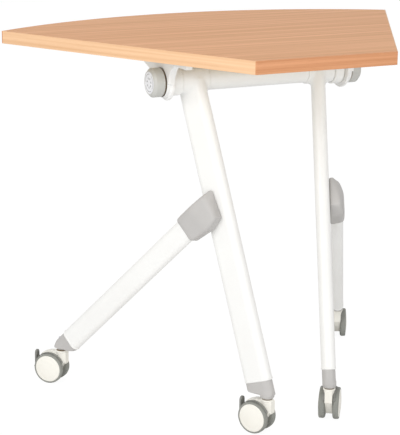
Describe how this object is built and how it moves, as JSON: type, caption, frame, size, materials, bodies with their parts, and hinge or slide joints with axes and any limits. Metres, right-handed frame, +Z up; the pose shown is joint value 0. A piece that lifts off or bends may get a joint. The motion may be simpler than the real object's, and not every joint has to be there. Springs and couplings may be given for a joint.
{
  "type": "folding desk",
  "caption": "Flip-top nesting desk: fan-shaped wood top pivoting on a beam between two branched white legs on braked twin-wheel casters, with a release knob at each end.",
  "frame": {"origin": "on the floor under the middle of the open top's bounding box", "axes": "+X along the beam to the right knob, +Y toward the top's curved side, +Z up"},
  "size_m": [0.862, 0.6154, 0.725],
  "materials": {
    "wood_laminate": "satin beech laminate",
    "edge_band": "beech-print band",
    "white_paint": "white powder coat",
    "white_casting": "white powder coat",
    "grey_plastic": "matt",
    "pale_disc": "pale gloss",
    "bearing_plastic": "matt",
    "steel": "zinc plated",
    "cream_plastic": "satin",
    "wheel_cream_and_grey": "cream disc in a grey tread, moulded in two shots",
    "dark_grey_plastic": "matt"
  },
  "bodies": {
    "frame": {"beam_tube": "white_paint", "return_spring": "steel", "caster_stems": "steel", "leg_collar_left": "white_paint", "leg_collar_right": "white_paint", "beam_plug_left": "steel", "beam_plug_right": "steel", "main_leg_left": "white_paint", "main_leg_right": "white_paint", "branch_leg_left": "white_paint", "branch_leg_right": "white_paint", "joint_cover_left": "grey_plastic", "joint_cover_right": "grey_plastic", "main_end_cap_left": "grey_plastic", "main_end_cap_right": "grey_plastic", "branch_end_cap_left": "grey_plastic", "branch_end_cap_right": "grey_plastic"},
    "top": {"tabletop_panel": "wood_laminate", "edge_band_arc": "edge_band", "edge_band_short": "edge_band", "bracket_screws": "steel", "edge_band_left": "edge_band", "edge_band_right": "edge_band", "bracket_left": "white_casting", "bracket_right": "white_casting", "pivot_bush_left": "bearing_plastic", "pivot_bush_right": "bearing_plastic", "lock_ring_left": "steel", "lock_ring_right": "steel"},
    "release": {"release_shaft": "steel", "crank_left": "steel", "crank_right": "steel", "knob_left": "grey_plastic", "knob_right": "grey_plastic", "knob_face_left": "pale_disc", "knob_face_right": "pale_disc"},
    "bolt_left": {"lock_bolt_left": "steel"},
    "bolt_right": {"lock_bolt_right": "steel"},
    "swivel_front_left": {"hood_front_left": "cream_plastic", "axle_front_left": "steel"},
    "roller_a_front_left": {"wheel_a_front_left": "wheel_cream_and_grey"},
    "roller_b_front_left": {"wheel_b_front_left": "wheel_cream_and_grey"},
    "brake_front_left": {"pedal_front_left": "dark_grey_plastic"},
    "swivel_front_right": {"hood_front_right": "cream_plastic", "axle_front_right": "steel"},
    "roller_a_front_right": {"wheel_a_front_right": "wheel_cream_and_grey"},
    "roller_b_front_right": {"wheel_b_front_right": "wheel_cream_and_grey"},
    "brake_front_right": {"pedal_front_right": "dark_grey_plastic"},
    "swivel_back_left": {"hood_back_left": "cream_plastic", "axle_back_left": "steel"},
    "roller_a_back_left": {"wheel_a_back_left": "wheel_cream_and_grey"},
    "roller_b_back_left": {"wheel_b_back_left": "wheel_cream_and_grey"},
    "brake_back_left": {"pedal_back_left": "dark_grey_plastic"},
    "swivel_back_right": {"hood_back_right": "cream_plastic", "axle_back_right": "steel"},
    "roller_a_back_right": {"wheel_a_back_right": "wheel_cream_and_grey"},
    "roller_b_back_right": {"wheel_b_back_right": "wheel_cream_and_grey"},
    "brake_back_right": {"pedal_back_right": "dark_grey_plastic"}
  },
  "joints": [
    {"name": "top_fold", "type": "hinge", "parent": "frame", "child": "top", "pos_m": [0, -0.03375, 0.6475], "axis": [1, 0, 0], "range_deg": [0, 75]},
    {"name": "release_turn", "type": "hinge", "parent": "frame", "child": "release", "pos_m": [0, -0.03375, 0.6475], "axis": [1, 0, 0], "range_deg": [0, 35]},
    {"name": "bolt_left_slide", "type": "slide", "parent": "frame", "child": "bolt_left", "axis": [0, 0, 1], "range_m": [0, 0.00521]},
    {"name": "bolt_right_slide", "type": "slide", "parent": "frame", "child": "bolt_right", "axis": [0, 0, 1], "range_m": [0, 0.00521]},
    {"name": "swivel_front_left_turn", "type": "hinge", "parent": "frame", "child": "swivel_front_left", "pos_m": [-0.06735, -0.23525, 0.06], "axis": [0, 0, 1], "continuous": true},
    {"name": "wheel_a_front_left_spin", "type": "hinge", "parent": "swivel_front_left", "child": "roller_a_front_left", "pos_m": [-0.07835, -0.2162, 0.031], "axis": [0.866, 0.5, 0], "continuous": true},
    {"name": "wheel_b_front_left_spin", "type": "hinge", "parent": "swivel_front_left", "child": "roller_b_front_left", "pos_m": [-0.07835, -0.2162, 0.031], "axis": [0.866, 0.5, 0], "continuous": true},
    {"name": "pedal_front_left_tilt", "type": "hinge", "parent": "swivel_front_left", "child": "brake_front_left", "pos_m": [-0.09235, -0.19195, 0.039], "axis": [0.866, 0.5, 0], "range_deg": [0, 15]},
    {"name": "swivel_front_right_turn", "type": "hinge", "parent": "frame", "child": "swivel_front_right", "pos_m": [0.06735, -0.23525, 0.06], "axis": [0, 0, 1], "continuous": true},
    {"name": "wheel_a_front_right_spin", "type": "hinge", "parent": "swivel_front_right", "child": "roller_a_front_right", "pos_m": [0.08029, -0.21745, 0.031], "axis": [0.809, -0.5878, 0], "continuous": true},
    {"name": "wheel_b_front_right_spin", "type": "hinge", "parent": "swivel_front_right", "child": "roller_b_front_right", "pos_m": [0.08029, -0.21745, 0.031], "axis": [0.809, -0.5878, 0], "continuous": true},
    {"name": "pedal_front_right_tilt", "type": "hinge", "parent": "swivel_front_right", "child": "brake_front_right", "pos_m": [0.09674, -0.1948, 0.039], "axis": [0.809, -0.5878, 0], "range_deg": [0, 15]},
    {"name": "swivel_back_left_turn", "type": "hinge", "parent": "frame", "child": "swivel_back_left", "pos_m": [-0.32601, 0.17247, 0.06], "axis": [0, 0, 1], "continuous": true},
    {"name": "wheel_a_back_left_spin", "type": "hinge", "parent": "swivel_back_left", "child": "roller_a_back_left", "pos_m": [-0.34073, 0.18882, 0.031], "axis": [0.7431, 0.6691, 0], "continuous": true},
    {"name": "wheel_b_back_left_spin", "type": "hinge", "parent": "swivel_back_left", "child": "roller_b_back_left", "pos_m": [-0.34073, 0.18882, 0.031], "axis": [0.7431, 0.6691, 0], "continuous": true},
    {"name": "pedal_back_left_tilt", "type": "hinge", "parent": "swivel_back_left", "child": "brake_back_left", "pos_m": [-0.35947, 0.20963, 0.039], "axis": [0.7431, 0.6691, 0], "range_deg": [0, 15]},
    {"name": "swivel_back_right_turn", "type": "hinge", "parent": "frame", "child": "swivel_back_right", "pos_m": [0.32601, 0.17247, 0.06], "axis": [0, 0, 1], "continuous": true},
    {"name": "wheel_a_back_right_spin", "type": "hinge", "parent": "swivel_back_right", "child": "roller_a_back_right", "pos_m": [0.33668, 0.19171, 0.031], "axis": [0.8746, -0.4848, 0], "continuous": true},
    {"name": "wheel_b_back_right_spin", "type": "hinge", "parent": "swivel_back_right", "child": "roller_b_back_right", "pos_m": [0.33668, 0.19171, 0.031], "axis": [0.8746, -0.4848, 0], "continuous": true},
    {"name": "pedal_back_right_tilt", "type": "hinge", "parent": "swivel_back_right", "child": "brake_back_right", "pos_m": [0.35025, 0.2162, 0.039], "axis": [0.8746, -0.4848, 0], "range_deg": [0, 15]}
  ],
  "couplings": [
    {"joint": "bolt_left_slide", "follows": "release_turn", "m_per_rad": 0.008368},
    {"joint": "bolt_right_slide", "follows": "release_turn", "m_per_rad": 0.008368}
  ]
}
